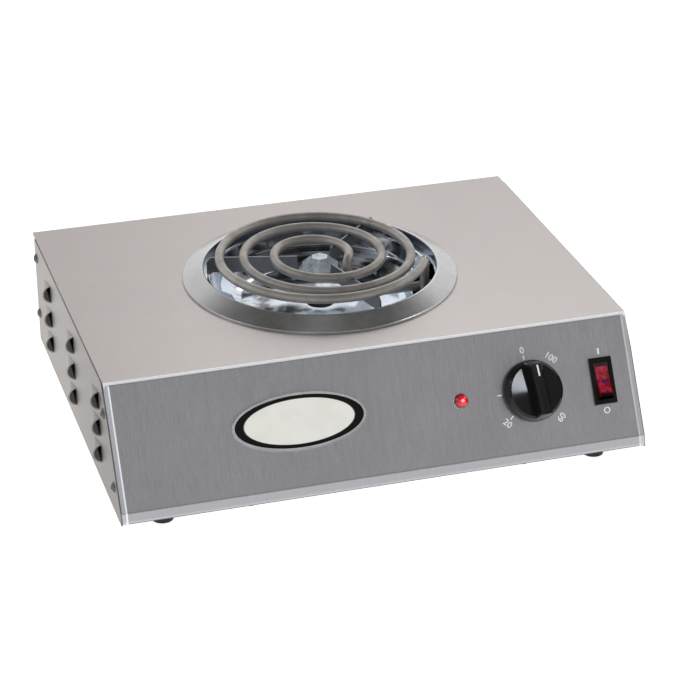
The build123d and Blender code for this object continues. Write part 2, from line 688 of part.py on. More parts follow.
def lamp_lens():
    """Domed red lens with a collar that sits on the front."""
    dome_r = (LENS_R ** 2 + LENS_RISE ** 2) / (2 * LENS_RISE)
    lens = Pos(0, 0, LENS_RISE - dome_r) * Sphere(dome_r)
    lens &= Pos(0, 0, LENS_RISE / 2) * Cylinder(LENS_R, LENS_RISE)
    lens += Pos(0, 0, -5) * Cylinder(LAMP_STEM_R, 10)
    lens -= Pos(0, 0, -4.2) * Cylinder(LAMP_STEM_R - 1, 12.0)
    return on_front(LAMP_X, CONTROL_S) * lens


def lamp_body():
    """Sleeve behind the lens that holds the neon bulb."""
    sleeve = Pos(0, 0, -16.0) * Cylinder(LAMP_STEM_R + 0.9, 16.0)
    sleeve -= Pos(0, 0, -8.5) * Cylinder(LAMP_STEM_R, 3.1)
    sleeve -= Pos(0, 0, -14.0) * Cylinder(LAMP_STEM_R - 1, 16.0)
    return on_front(LAMP_X, CONTROL_S) * sleeve


def lamp_bulb():
    """Neon bulb inside the sleeve."""
    glass = Pos(0, 0, -12.0) * Cylinder(2.4, 14.0) + Pos(0, 0, -5.0) * Sphere(2.4)
    return on_front(LAMP_X, CONTROL_S) * (glass + Pos(0, 0, -20.5) * Cylinder(1.5, 3.0))


def lamp_clip():
    """Toothed push-on washer that pulls the lens against the front."""
    washer = Pos(0, 0, -SHEET - 0.4) * Cylinder(8.0, 0.8) - Cylinder(LAMP_STEM_R, 12)
    return on_front(LAMP_X, CONTROL_S) * washer


# ---- power switch --------------------------------------------------------------------------
BEZEL = (16.0, 32.0, 2.0)
SWITCH_DEPTH = 22.0
SWITCH_BODY = (13.5, 27.5)
CAVITY = (10.9, 25.6)
ROCKER_HALF_WIDTH = 5.2
ROCKER_PIVOT_LIFT = -1.5
ROCKER_TILT = 10.0
TRUNNION_R = 1.5


def switch_housing():
    """Snap-in housing with its frame on the front and a cavity for the rocker."""
    housing = Pos(0, 0, BEZEL[2] / 2) * Box(*BEZEL)
    housing = fillet(housing.edges().group_by(Axis.Z)[-1], 0.8)
    housing += Pos(0, 0, -SWITCH_DEPTH / 2) * Box(*SWITCH_BODY, SWITCH_DEPTH)
    cavity_depth = 12.0
    cut = cavity_depth + BEZEL[2]
    housing -= Pos(0, 0, BEZEL[2] - cut / 2 + 0.01) * Box(*CAVITY, cut)
    socket = Pos(0, 0, ROCKER_PIVOT_LIFT) * Rot(0, 90, 0) * Cylinder(TRUNNION_R + 0.05, SWITCH_BODY[0] - 0.4)
    return on_front(SWITCH_X, CONTROL_S) * (housing - socket)


def switch_rocker():
    """Dished rocker on moulded trunnions, with its upper end pressed in."""
    end, depth = 11.9, 7.0
    outline = Polyline((-end, 4.6), (-end / 2, 3.4), (0, 3.0), (end / 2, 3.4), (end, 4.6), (end - 1.4, -1.5),
                       (4.0, -depth + 1.5), (-4.0, -depth + 1.5), (-end + 1.4, -1.5), close=True)
    body = extrude(Plane.YZ * make_face(outline), amount=ROCKER_HALF_WIDTH, both=True)
    body += Rot(0, 90, 0) * Cylinder(TRUNNION_R, SWITCH_BODY[0] - 0.6)
    place = on_front(SWITCH_X, CONTROL_S, ROCKER_PIVOT_LIFT)
    return place * Rot(-ROCKER_TILT, 0, 0) * body


SWITCH_TABS = (-8.5, 0.0, 8.5)


def switch_tabs():
    """Three push-on tabs at the back of the switch."""
    tabs = Part()
    for y in SWITCH_TABS:
        tabs += Pos(0, y, -SWITCH_DEPTH - TAB_REACH / 2) * Box(4.8, 0.8, TAB_REACH)
    return on_front(SWITCH_X, CONTROL_S) * tabs


# ---- badge ---------------------------------------------------------------------------------
BADGE_HALF = (45.6, 18.8)


def badge_plate():
    """Plain oval plate."""
    rim = 1.6
    face = Ellipse(BADGE_HALF[0] - rim, BADGE_HALF[1] - rim)
    return on_front(BADGE_X, BADGE_S) * extrude(face, amount=1.3)


def badge_rim():
    """Bright edge around the oval plate."""
    rim = 1.6
    face = Ellipse(*BADGE_HALF) - Ellipse(BADGE_HALF[0] - rim, BADGE_HALF[1] - rim)
    return on_front(BADGE_X, BADGE_S) * extrude(face, amount=1.8)


# ---- supply entry and wiring ---------------------------------------------------------------
EARTH_AT = (160.0, FRONT_Y + 196.0)
TERMINAL_AT = (142.0, FRONT_Y + 245.0)
WIRE_R = 1.4


def cord_gland():
    """Flanged bushing in the back panel, bored for the supply cord."""
    gland = rod(GLAND_HOLE_R + 3, (GLAND_X, BACK_Y, GLAND_Z), (GLAND_X, BACK_Y + 4, GLAND_Z))
    gland += rod(GLAND_HOLE_R, (GLAND_X, BACK_Y - 9, GLAND_Z), (GLAND_X, BACK_Y, GLAND_Z))
    gland = fillet(gland.edges().group_by(Axis.Y)[-1], 1.5)
    return gland - rod(GLAND_BORE_R, (GLAND_X, BACK_Y - 12, GLAND_Z), (GLAND_X, BACK_Y + 8, GLAND_Z))


GLAND_BORE_R = 4.2


def gland_nut():
    """Nut that holds the bushing from inside."""
    nut = hex_nut(22.0, 4.0, GLAND_HOLE_R)
    return Pos(GLAND_X, BACK_Y - SHEET, GLAND_Z) * Rot(90, 0, 0) * nut


def terminal_block():
    """Screw connector for the supply cord, on the base plate."""
    x, y = TERMINAL_AT
    size = (24.0, 16.0, 15.0)
    body = Pos(x, y, FLOOR_TOP + size[2] / 2) * Box(*size)
    body = fillet(body.edges().group_by(Axis.Z)[-1], 1.0)
    for dx in (-6.0, 6.0):
        body -= Pos(x + dx, y, FLOOR_TOP + 7) * Rot(90, 0, 0) * Cylinder(2.2, 30)
        body -= Pos(x + dx, y, FLOOR_TOP + 14) * Cylinder(2.0, 6)
    return body


def terminal_screws():
    """Clamp screws in the connector."""
    screws = Part()
    x, y = TERMINAL_AT
    for dx in (-6.0, 6.0):
        screws += Pos(x + dx, y, FLOOR_TOP + 12.4) * (Cylinder(1.9, 2.6) - Pos(0, 0, 1.3) * Box(5, 0.7, 1.2))
    return screws


def earth_stud():
    """Earth screw standing on the base plate, with its head outside."""
    x, y = EARTH_AT
    return Pos(x, y, FLOOR_Z) * Rot(180, 0, 0) * pan_screw(14.0, FOOT_SCREW_R, 3.8, 2.0)


def earth_nut():
    """Nut that clamps the earth lead."""
    return Pos(*EARTH_AT, FLOOR_TOP) * hex_nut(7.0, 3.2, FOOT_SCREW_R)


def local_point(x, s, lift):
    """World coordinates of a place measured on the sloping front."""
    place = on_front(x, s, lift).position
    return (place.X, place.Y, place.Z)


def wires():
    """Each lead by name, as its route and its bend radius."""
    outer_y, inner_y = lead_ys()
    tail_x = BLOCK_X[1] + 9.0
    tx, ty = TERMINAL_AT
    pole = 6.0
    mouth_y = ty - 8.0
    mouth_z = FLOOR_TOP + 7.0
    control_back = -SHEET - CASE_SIZE[2] - BOARD - TAB_REACH
    switch_back = -SWITCH_DEPTH - TAB_REACH
    lead_in = 9.0

    def tab(x, s, lift):
        """The end of a tab and a place straight behind it."""
        return [local_point(x, s, lift), local_point(x, s, lift - lead_in)]

    live = tab(SWITCH_X, CONTROL_S + SWITCH_TABS[2], switch_back)
    load = tab(SWITCH_X, CONTROL_S + SWITCH_TABS[0], switch_back)
    _, heat, pilot, feed = (tab(KNOB_X + x, CONTROL_S - y, control_back) for x, y in TAB_PLACES)
    lamp = tab(LAMP_X, CONTROL_S, -24.0)
    return {
        "wire_supply_to_switch": ([(tx + pole, mouth_y, mouth_z), (tx + pole, ty - 60, mouth_z),
                                   (live[1][0], live[1][1] + 30, mouth_z), live[1], live[0]], 5.0),
        "wire_switch_to_control": ([load[0], load[1], (load[1][0] - 14, load[1][1] + 14, load[1][2] + 4),
                                    (feed[1][0] + 14, feed[1][1] + 12, feed[1][2]), feed[1], feed[0]], 4.0),
        "wire_control_to_element": ([heat[0], heat[1], (heat[1][0], heat[1][1] + 14, 60.0),
                                     (tail_x + 16, outer_y - 24, 60.0), (tail_x + 16, outer_y, LEAD_Z),
                                     (tail_x, outer_y, LEAD_Z)], 6.0),
        "wire_supply_to_element": ([(tx - pole, mouth_y, mouth_z), (tx - pole, ty - 30, mouth_z),
                                    (tail_x + 12, inner_y + 24, 60), (tail_x + 12, inner_y, LEAD_Z),
                                    (tail_x, inner_y, LEAD_Z)], 6.0),
        "wire_control_to_lamp": ([pilot[0], pilot[1], (LAMP_X + 16, lamp[1][1] + 12, lamp[1][2]),
                                  lamp[1], lamp[0]], 4.0),
    }


# ---- write every node ----------------------------------------------------------------------
def nodes():
    """All nodes by name."""
    right = right_side_panel()
    made = {
        "top_shell": top_shell(),
        "right_side_panel": right,
        "left_side_panel": mirror(right, about=Plane.YZ),
        "back_panel": back_panel(),
        "base_plate": base_plate(),
        "left_side_screws": side_screws(-1),
        "right_side_screws": side_screws(1),
        "base_screws": base_screws(),
        "foot_screws": foot_screws(),
        "foot_nuts": foot_nuts(),
        "trim_ring": trim_ring(),
        "drip_bowl": drip_bowl(),
        "heating_coil": heating_coil(),
        "element_blades": element_blades(),
        "coil_support": coil_support(),
        "support_medallion": support_medallion(),
        "receptacle_block": receptacle_block(),
        "receptacle_contacts": receptacle_contacts(),
        "receptacle_bracket": receptacle_bracket(),
        "receptacle_screw": receptacle_screw(),
        "heat_shield": heat_shield(),
        "control_case": control_case(),
        "control_terminal_board": control_terminal_board(),
        "control_tabs": control_tabs(),
        "control_bimetal": control_bimetal(),
        "control_screws": control_screws(),
        "control_shaft": control_shaft(),
        "control_cam": control_cam(),
        "control_knob": control_knob(),
        "knob_spring": knob_spring(),
        "lamp_lens": lamp_lens(),
        "lamp_body": lamp_body(),
        "lamp_bulb": lamp_bulb(),
        "lamp_clip": lamp_clip(),
        "switch_housing": switch_housing(),
        "switch_rocker": switch_rocker(),
        "switch_tabs": switch_tabs(),
        "badge_plate": badge_plate(),
        "badge_rim": badge_rim(),
        "cord_gland": cord_gland(),
        "gland_nut": gland_nut(),
        "terminal_block": terminal_block(),
        "terminal_screws": terminal_screws(),
        "earth_stud": earth_stud(),
        "earth_nut": earth_nut(),
    }
    for name, (x, y) in FOOT_PLACES.items():
        made[name] = foot(x, y)
    for name, (points, radius) in wires().items():
        made[name] = tube(points, radius, WIRE_R)
    return made


def main():
    """Write one STEP file for each node."""
    for name, shape in nodes().items():
        export_step(shape, f"parts/{name}.step")


if __name__ == "__main__":
    main()
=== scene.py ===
import json
from math import cos, pi, radians, sin

import bmesh
import bpy
from bpy.props import FloatProperty, FloatVectorProperty, PointerProperty
from mathutils import Matrix, Vector


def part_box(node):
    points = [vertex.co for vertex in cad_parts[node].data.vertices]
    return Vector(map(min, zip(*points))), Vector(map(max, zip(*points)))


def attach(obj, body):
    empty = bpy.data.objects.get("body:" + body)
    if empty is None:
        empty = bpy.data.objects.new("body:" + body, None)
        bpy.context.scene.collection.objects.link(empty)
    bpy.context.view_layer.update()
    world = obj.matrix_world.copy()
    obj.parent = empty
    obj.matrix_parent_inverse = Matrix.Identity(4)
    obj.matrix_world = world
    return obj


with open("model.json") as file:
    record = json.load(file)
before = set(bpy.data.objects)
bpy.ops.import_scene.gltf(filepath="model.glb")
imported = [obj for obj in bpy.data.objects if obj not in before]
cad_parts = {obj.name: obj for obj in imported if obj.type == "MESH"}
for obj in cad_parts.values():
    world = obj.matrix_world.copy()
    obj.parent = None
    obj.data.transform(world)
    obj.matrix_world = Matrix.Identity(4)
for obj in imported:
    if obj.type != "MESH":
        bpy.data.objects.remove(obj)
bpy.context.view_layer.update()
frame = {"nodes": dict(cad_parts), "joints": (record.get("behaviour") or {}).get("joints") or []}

bl_info = {
    "name": "Hot Plate Burner",
    "version": (1, 0, 0),
    "blender": (4, 5, 0),
    "location": "View3D > Sidebar > Hot Plate",
    "description": "Finishes and fine pieces of a folded steel hot plate with a lift-up coil",
    "category": "Object",
}

MM = 0.001


# ---- where things are ----------------------------------------------------------------------
def joint(name):
    """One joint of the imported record."""
    return next(j for j in frame["joints"] if j["name"] == name)


def middle(node):
    """Centre of a node's box."""
    low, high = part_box(node)
    return (low + high) / 2


def half_width(node):
    """Half of a node's width across the hot plate."""
    low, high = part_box(node)
    return (high.x - low.x) / 2


SHELL_LOW, SHELL_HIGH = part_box("top_shell")
DECK_Z = SHELL_HIGH.z
HEM_Z = SHELL_LOW.z
SHELL_END = SHELL_HIGH.x                # end of the shell, right and left of the middle
STRIP_TOP = 17.7 * MM                   # where the upright strip meets the sloping front
ROLLED_END = 3.6 * MM                   # width of the shell's rolled ends on the front
BURNER = Vector((middle("trim_ring").x, middle("trim_ring").y, DECK_Z))
RING_R = half_width("trim_ring")
CREST_R = RING_R * 0.86                 # top of the ring's section
LENS_R = half_width("lamp_lens")
KNOB_R = half_width("control_knob")
KNOB_AT = Vector(joint("knob_turn")["pos_m"])
KNOB_REST = radians(4.5)                # how far left of upright the knob stands at rest
FRONT_OUT = Vector(joint("knob_turn")["axis"]).normalized()
FRONT_RIGHT = Vector((1, 0, 0))
FRONT_UP = FRONT_OUT.cross(FRONT_RIGHT)
FRONT_TURN = Matrix((FRONT_RIGHT, FRONT_UP, FRONT_OUT)).transposed().to_4x4()
BEND_Y = KNOB_AT.y + (DECK_Z - KNOB_AT.z) * FRONT_UP.y / FRONT_UP.z
INK = 0.06 * MM                         # half the thickness of a printed mark


def on_front(x, up, lift=0.0):
    """Matrix at a place on the sloping front, measured from the knob's centre."""
    at = KNOB_AT + FRONT_RIGHT * x + FRONT_UP * up + FRONT_OUT * lift
    return Matrix.Translation(at) @ FRONT_TURN


# ---- what a user may change ----------------------------------------------------------------
def color(name, description, default):
    """A colour property."""
    return FloatVectorProperty(name=name, description=description, default=default,
                               subtype="COLOR", min=0, max=1)


class HotPlateFinishes(bpy.types.PropertyGroup):
    """Colours of the visible finishes."""

    deck: color("Deck", "Satin steel of the deck", (0.515, 0.478, 0.457))
    front: color("Front", "Satin steel of the sloping front", (0.70, 0.69, 0.725))
    side: color("Sides", "Satin steel of the side panels", (0.385, 0.362, 0.342))
    ring: color("Trim ring", "Spun steel ring", (0.66, 0.66, 0.665))
    bowl: color("Drip bowl", "Polished bowl", (0.80, 0.86, 0.94))
    sheath: color("Element", "Heat-darkened sheath of the coil", (0.47, 0.437, 0.408))
    moulding: color("Black plastic", "Knob and switch frame", (0.008, 0.008, 0.009))
    red: color("Red plastic", "Pilot lens and rocker", (0.55, 0.005, 0.012))
    badge: color("Badge", "Off-white field of the oval badge", (0.90, 0.89, 0.83))


class HotPlateSizes(bpy.types.PropertyGroup):
    """Sizes of the fine detail."""

    grain: FloatProperty(name="Grain", description="Width of one brushing line",
                         default=0.45 * MM, min=0.05 * MM, max=2 * MM, unit="LENGTH")
    grain_run: FloatProperty(name="Grain length", description="Length of one brushing line",
                             default=11 * MM, min=MM, max=0.2, unit="LENGTH")
    lens: FloatProperty(name="Camera lens", description="Focal length in mm on a 36 mm sensor",
                        default=126.6, min=20, max=300)


# ---- shader arithmetic ---------------------------------------------------------------------
class Signal:
    """One output in a node tree; arithmetic on it adds Math nodes."""

    def __init__(self, shader, socket):
        self.shader = shader
        self.socket = socket

    def _math(self, operation, *values):
        return self.shader.node("ShaderNodeMath", {"operation": operation},
                                dict(enumerate(values)))

    def __add__(self, other):
        return self._math("ADD", self, other)

    def __sub__(self, other):
        return self._math("SUBTRACT", self, other)

    def __rsub__(self, other):
        return self._math("SUBTRACT", other, self)

    def __mul__(self, other):
        return self._math("MULTIPLY", self, other)

    def __truediv__(self, other):
        return self._math("DIVIDE", self, other)

    def __rtruediv__(self, other):
        return self._math("DIVIDE", other, self)

    __radd__ = __add__
    __rmul__ = __mul__

    def absolute(self):
        """Size without sign."""
        return self._math("ABSOLUTE", self)

    def root(self):
        """Square root."""
        return self._math("SQRT", self)

    def most(self, other):
        """The larger of two."""
        return self._math("MAXIMUM", self, other)

    def between(self, low, high):
        """0 at low, 1 at high, smooth in between and flat outside."""
        return self.shader.node("ShaderNodeMapRange", {"interpolation_type": "SMOOTHSTEP"},
                                {"Value": self, "From Min": low, "From Max": high})


class Shader:
    """The node tree of a material or world under construction."""

    def __init__(self, owner, output, surface):
        self.owner = owner
        owner.use_nodes = True
        self.tree = owner.node_tree
        self.tree.nodes.clear()
        out = self.tree.nodes.new(output)
        self.surface = self.tree.nodes.new(surface)
        self.tree.links.new(self.surface.outputs[0], out.inputs["Surface"])

    def feed(self, socket, value):
        """Sets a socket, or links it to a signal."""
        if isinstance(value, Signal):
            self.tree.links.new(value.socket, socket)
            return
        wide = hasattr(socket.default_value, "__len__")
        if wide and not hasattr(value, "__len__"):
            value = [value] * len(socket.default_value)
        elif wide and len(value) + 1 == len(socket.default_value):
            value = (*value, 1.0)
        socket.default_value = value

    def node(self, kind, settings=None, values=None, out=0):
        """Adds a node: settings first, then the values or links of its sockets."""
        made = self.tree.nodes.new(kind)
        for key, value in (settings or {}).items():
            if key == "stops":
                self.stops(made.color_ramp, value)
            else:
                setattr(made, key, value)
        for key, value in (values or {}).items():
            self.feed(made.inputs[key], value)
        return Signal(self, made.outputs[out])

    @staticmethod
    def stops(ramp, stops):
        """Fills a colour ramp from (position, grey) pairs."""
        while len(ramp.elements) < len(stops):
            ramp.elements.new(1.0)
        for element, (position, grey) in zip(ramp.elements, stops):
            element.position = position
            element.color = (grey, grey, grey, 1)

    def ramp(self, value, low, high, stops):
        """Grey looked up from stops spread over a range of a value."""
        step = self.node("ShaderNodeMapRange", {},
                         {"Value": value, "From Min": low, "From Max": high})
        return self.node("ShaderNodeValToRGB", {"stops": stops}, {"Fac": step})

    def blend(self, factor, first, second, how="MIX"):
        """Colour mix."""
        return self.node("ShaderNodeMix", {"data_type": "RGBA", "blend_type": how},
                         {0: factor, 6: first, 7: second}, out=2)

    def finish(self, **sockets):
        """Feeds the surface's sockets by name and returns the material or world."""
        for key, value in sockets.items():
            self.feed(self.surface.inputs[key.replace("_", " ")], value)
        return self.owner


class Paint(Shader):
    """A material under construction."""

    def __init__(self, name):
        super().__init__(bpy.data.materials.new(name), "ShaderNodeOutputMaterial",
                         "ShaderNodeBsdfPrincipled")

    def place(self):
        """Object coordinates, in metres."""
        return self.node("ShaderNodeTexCoord", out=3)

    def stretched(self, scale):
        """Coordinates multiplied by a scale for each axis."""
        return self.node("ShaderNodeVectorMath", {"operation": "MULTIPLY"},
                         {0: self.place(), 1: scale})

    def noise(self, scale=1.0, detail=3.0, rough=0.5, at=None):
        """Noise value around 0.5."""
        return self.node("ShaderNodeTexNoise", {}, {"Vector": at or self.place(), "Scale": scale,
                                                    "Detail": detail, "Roughness": rough})

    def axis(self, index):
        """One of x, y, z of the coordinates."""
        return self.node("ShaderNodeSeparateXYZ", {}, {0: self.place()}, out=index)

    def along(self, direction, origin):
        """Distance from an origin along a direction, in metres."""
        away = self.node("ShaderNodeVectorMath", {"operation": "SUBTRACT"},
                         {0: self.place(), 1: tuple(origin)})
        return self.node("ShaderNodeVectorMath", {"operation": "DOT_PRODUCT"},
                         {0: away, 1: tuple(direction)}, out=1)

    def bump(self, height, distance, strength):
        """Normal from a height signal."""
        return self.node("ShaderNodeBump", {}, {"Height": height, "Distance": distance,
                                                "Strength": strength})


def length(across, along):
    """Length of two distances at right angles."""
    return (across * across + along * along).root()


def darker(tone, amount):
    """A colour scaled by an amount."""
    return tuple(channel * amount for channel in tone)


# ---- metals --------------------------------------------------------------------------------
def grain_of(paint, crossed=(1, 0, 0)):
    """Fine brushing lines around 0.5; crossed marks the axes that run across them."""
    sizes = bpy.context.scene.hot_plate_sizes
    scale = tuple(1 / sizes.grain if crossing else 1 / sizes.grain_run for crossing in crossed)
    fine = paint.noise(at=paint.stretched(scale), detail=2.0, rough=0.6)
    broad = paint.noise(at=paint.stretched(darker(scale, 0.16)), detail=2.0)
    return fine * 0.8 + broad * 0.2


def clouds_of(paint, amount):
    """Soft stains and smudges around zero."""
    smoke = paint.noise(scale=11.0, detail=5.0, rough=0.62)
    smudge = paint.noise(scale=47.0, detail=4.0, rough=0.7)
    return (smoke - 0.5) * amount * 3 + (smudge - 0.5) * amount


def brushed_steel(name, tone, crossed=(1, 0, 0), cloud=0.05, front_shade=0.0, scoop_glow=0.0):
    """Satin sheet with painted shade towards the front and a painted glow on the scoops, as much
    as the last two arguments ask.
    """
    paint = Paint(name)
    line = grain_of(paint, crossed)
    stain = clouds_of(paint, cloud)
    mix = ((line - 0.5) * 0.20 + stain + 0.5).between(0.25, 0.75)
    tint = paint.blend(mix, darker(tone, 0.86), darker(tone, 1.14))
    # painted shade: the sheet is darker towards the front
    ahead = 1.0 - paint.axis(1).between(-130 * MM, 60 * MM)
    tint = paint.blend(ahead * front_shade, tint, darker(tone, 0.5))
    # painted light: a warm glow on the scoops
    scoop = (paint.axis(0).absolute() - SHELL_END).between(0.9 * MM, 1.6 * MM)
    glow = paint.blend(scoop * scoop_glow, (0, 0, 0), (1, 0.93, 0.88))
    rough = (line - 0.5) * 0.22 + stain * 0.5 + 0.5
    return paint.finish(Base_Color=tint, Metallic=1.0, Roughness=rough, Emission_Color=glow,
                        Emission_Strength=1.0, Normal=paint.bump(line * 0.00003, 1.0, 0.5))


def shell_steel(deck, front):
    """The folded shell: cloudy deck, grained front, painted shade on the upright strip with a
    painted shadow line at the hem, and painted highlights along the bend, the rolled ends' creases
    and the rolled ends.
    """
    paint = Paint("satin_shell")
    line = grain_of(paint)
    stain = clouds_of(paint, 0.07)
    grit = paint.noise(scale=1300.0, detail=2.0)
    height = paint.axis(2)
    ahead = paint.axis(1) * -1.0 + BEND_Y
    is_front = ahead.between(0.0, 1.5 * MM)
    strip = 1.0 - height.between(STRIP_TOP - 0.5 * MM, STRIP_TOP + 0.5 * MM)

    deck_tone = ((line - 0.5) * 0.10 + stain * 1.5 + 0.5).between(0.25, 0.75)
    front_tone = ((line - 0.5) * 0.6 + (grit - 0.5) * 0.35 + stain + 0.5).between(0.2, 0.8)
    # painted shade: the upright strip below the slope is darkened
    front_tone = front_tone * (1.0 - strip * 0.45)
    tint = paint.blend(is_front,
                       paint.blend(deck_tone, darker(deck, 0.88), darker(deck, 1.12)),
                       paint.blend(front_tone, darker(front, 0.82), darker(front, 1.18)))
    # painted shade: the upright strip is greyed as well
    tint = paint.blend(strip * 0.3, tint, (0.3, 0.29, 0.3))
    # painted shadow: a dark line just above the bottom edge of the hem
    hem_shadow = height.between(HEM_Z + 0.9 * MM, HEM_Z + 1.8 * MM)
    tint = paint.blend(hem_shadow, (0.10, 0.095, 0.10), tint)

    from_bend = ahead.absolute() + (height - DECK_Z).absolute()
    past_side = paint.axis(0).absolute() - (SHELL_END - ROLLED_END)
    rolled = past_side.between(0.0, 1.0 * MM) * is_front
    crease = 1.0 - (past_side - 0.5 * MM).absolute().between(0.3 * MM, 0.7 * MM)
    right = paint.axis(0).between(-MM, MM)
    # painted highlight: pale, glowing lines along the bend and the creases of the rolled ends,
    # weaker on the right-hand crease
    pale_band = (1.0 - from_bend.between(1.0 * MM, 2.0 * MM)).most(
        crease * is_front * (1.0 - right * 0.55))
    # painted sheen: the rolled ends are paled as well
    bright = pale_band.most(rolled * 0.4)
    relief = line * 0.00003 - past_side.most(0.0) * is_front * 0.5
    # where painted, the highlights are paler, less metallic and glow
    return paint.finish(Base_Color=paint.blend(bright, tint, (0.90, 0.91, 0.96)),
                        Metallic=1.0 - bright * 0.8,
                        Roughness=(line - 0.5) * 0.22 + stain * 0.5 + 0.36,
                        Emission_Color=paint.blend(pale_band, (0, 0, 0), (0.95, 0.96, 1)),
                        Emission_Strength=0.36, Normal=paint.bump(relief, 1.0, 0.6))


def polished(name, tone, roughness):
    """Plated or turned surface with faint haze."""
    paint = Paint(name)
    smear = paint.noise(scale=60.0, detail=4.0, rough=0.65)
    spot = paint.noise(scale=600.0, detail=2.0)
    wave = paint.noise(scale=28.0, detail=1.0)
    tint = paint.blend(smear.between(0.3, 0.7), darker(tone, 0.92), tone)
    rough = roughness + (smear - 0.4) * 0.05 + (spot - 0.5) * 0.02
    return paint.finish(Base_Color=tint, Metallic=1.0, Roughness=rough,
                        Normal=paint.bump(wave * 0.8 + spot * 0.02, 0.0002, 0.35))


def bright_bowl(tone):
    """Mirror plating with blotches of painted dark reflection and of pale, glowing painted
    reflection, darkest at the back.
    """
    paint = Paint("bright_bowl")
    smear = paint.noise(scale=60.0, detail=4.0, rough=0.65)
    patch = paint.noise(scale=34.0, detail=4.0, rough=0.55)
    wave = paint.noise(scale=28.0, detail=1.0)
    back = paint.axis(1) - BURNER.y
    ahead = 1.0 - back.between(-20 * MM, 45 * MM)
    behind = back.between(30 * MM, 62 * MM)
    # painted dark reflection in blotches, deepest across the back of the bowl
    dark = (1.0 - (patch + ahead * 0.09).between(0.42, 0.53)).most(behind * 0.8)
    # painted pale reflection, given as glow below
    pale = (patch + ahead * 0.06).between(0.50, 0.60)
    tint = paint.blend(smear.between(0.3, 0.7), darker(tone, 0.9), tone)
    tint = paint.blend(dark * 0.78, tint, (0.04, 0.036, 0.034))
    # colour of the painted reflection's glow
    sheen = paint.blend(smear.between(0.4, 0.6), (0.40, 0.52, 0.66), (0.74, 0.76, 0.78))
    return paint.finish(Base_Color=tint, Metallic=1.0 - pale * 0.35,
                        Roughness=0.06 + (smear - 0.4) * 0.06,
                        Emission_Color=paint.blend(pale * (1.0 - behind), (0, 0, 0), sheen),
                        Emission_Strength=0.34, Normal=paint.bump(wave, 0.0003, 0.35))


def pale_tin(tone):
    """Tinned plate, cloudy and half dull, with a faint painted glow."""
    paint = Paint("pale_tin")
    cloud = paint.noise(scale=160.0, detail=4.0, rough=0.6)
    tint = paint.blend(cloud.between(0.35, 0.65), darker(tone, 0.6), tone)
    # painted light: a faint glow from its own colour
    return paint.finish(Base_Color=tint, Metallic=0.45, Roughness=0.3 + (cloud - 0.5) * 0.2,
                        Emission_Color=tint, Emission_Strength=0.1)


def spun_ring(tone):
    """Satin ring with painted shade on its inner wall and its left half, and a faint painted glow
    across its front.
    """
    paint = Paint("spun_ring")
    across, back = paint.axis(0) - BURNER.x, paint.axis(1) - BURNER.y
    out = length(across, back)
    smear = paint.noise(scale=55.0, detail=5.0, rough=0.65)
    turned = paint.node("ShaderNodeTexNoise", {"noise_dimensions": "1D"},
                        {"W": out, "Scale": 2600.0, "Detail": 2.0})
    # painted shade: the inner wall below the crest is darkened
    inner = 1.0 - out.between(CREST_R - 1.6 * MM, CREST_R - 0.2 * MM)
    # painted shade: the left half is greyed
    left = 1.0 - across.between(-RING_R, 0.0)
    ahead = 1.0 - (back + across * 0.25).between(-RING_R, -0.45 * RING_R)
    tint = paint.blend(smear.between(0.3, 0.7), darker(tone, 0.88), tone)
    tint = paint.blend(left * 0.25, tint, (0.3, 0.3, 0.31))
    tint = paint.blend(inner, tint, (0.16, 0.18, 0.22))
    # painted light: a faint glow across the front of the ring
    glow = paint.blend(ahead * (1.0 - inner), (0, 0, 0), (0.014, 0.012, 0.010))
    return paint.finish(Base_Color=tint, Metallic=1.0,
                        Roughness=0.23 + (smear - 0.5) * 0.2 + (turned - 0.5) * 0.1,
                        Emission_Color=glow, Emission_Strength=1.0,
                        Normal=paint.bump(turned, 0.00001, 0.4))


def element_sheath(tone):
    """Oxidised element sheath, paler and a little smoother in patches over its top 5 mm."""
    paint = Paint("element_sheath")
    cloud = paint.noise(scale=70.0, detail=5.0, rough=0.6)
    pit = paint.noise(scale=1500.0, detail=3.0, rough=0.6)
    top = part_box("heating_coil")[1].z
    mottle = cloud.between(0.25, 0.75)
    # paler, smoother patches over the top 5 mm of the coil
    pale_band = paint.axis(2).between(top - 5 * MM, top) * mottle
    tint = paint.blend(mottle, darker(tone, 0.86), darker(tone, 1.12))
    tint = paint.blend(pale_band * 0.5, tint, darker(tone, 1.35))
    return paint.finish(Base_Color=tint, Metallic=0.55,
                        Roughness=0.52 + (pit - 0.5) * 0.3 - pale_band * 0.1,
                        Normal=paint.bump(pit, 0.00006, 0.6))


# ---- plastics, rubber and print ------------------------------------------------------------
def moulded(name, tone, roughness=0.3, texture=0.4, coat=0.0, shine=0.5, glow=0.0):
    """Plastic, rubber or ceramic with a moulded skin; glow adds a painted glow."""
    paint = Paint(name)
    grains = paint.noise(scale=1400.0, detail=2.0)
    wear = paint.noise(scale=90.0, detail=5.0, rough=0.65)
    rubbed = tuple(min(1.0, channel * 1.25 + 0.004) for channel in tone)
    tint = paint.blend(wear.between(0.35, 0.8), tone, rubbed)
    rough = roughness + (wear - 0.5) * roughness * 0.4 + (grains - 0.5) * texture * 0.06
    return paint.finish(Base_Color=tint, Roughness=rough, Coat_Weight=coat,
                        Specular_IOR_Level=shine, Emission_Color=(1, 1, 1),
                        Emission_Strength=glow,
                        Normal=paint.bump(grains, 0.00004 * texture, 0.5))


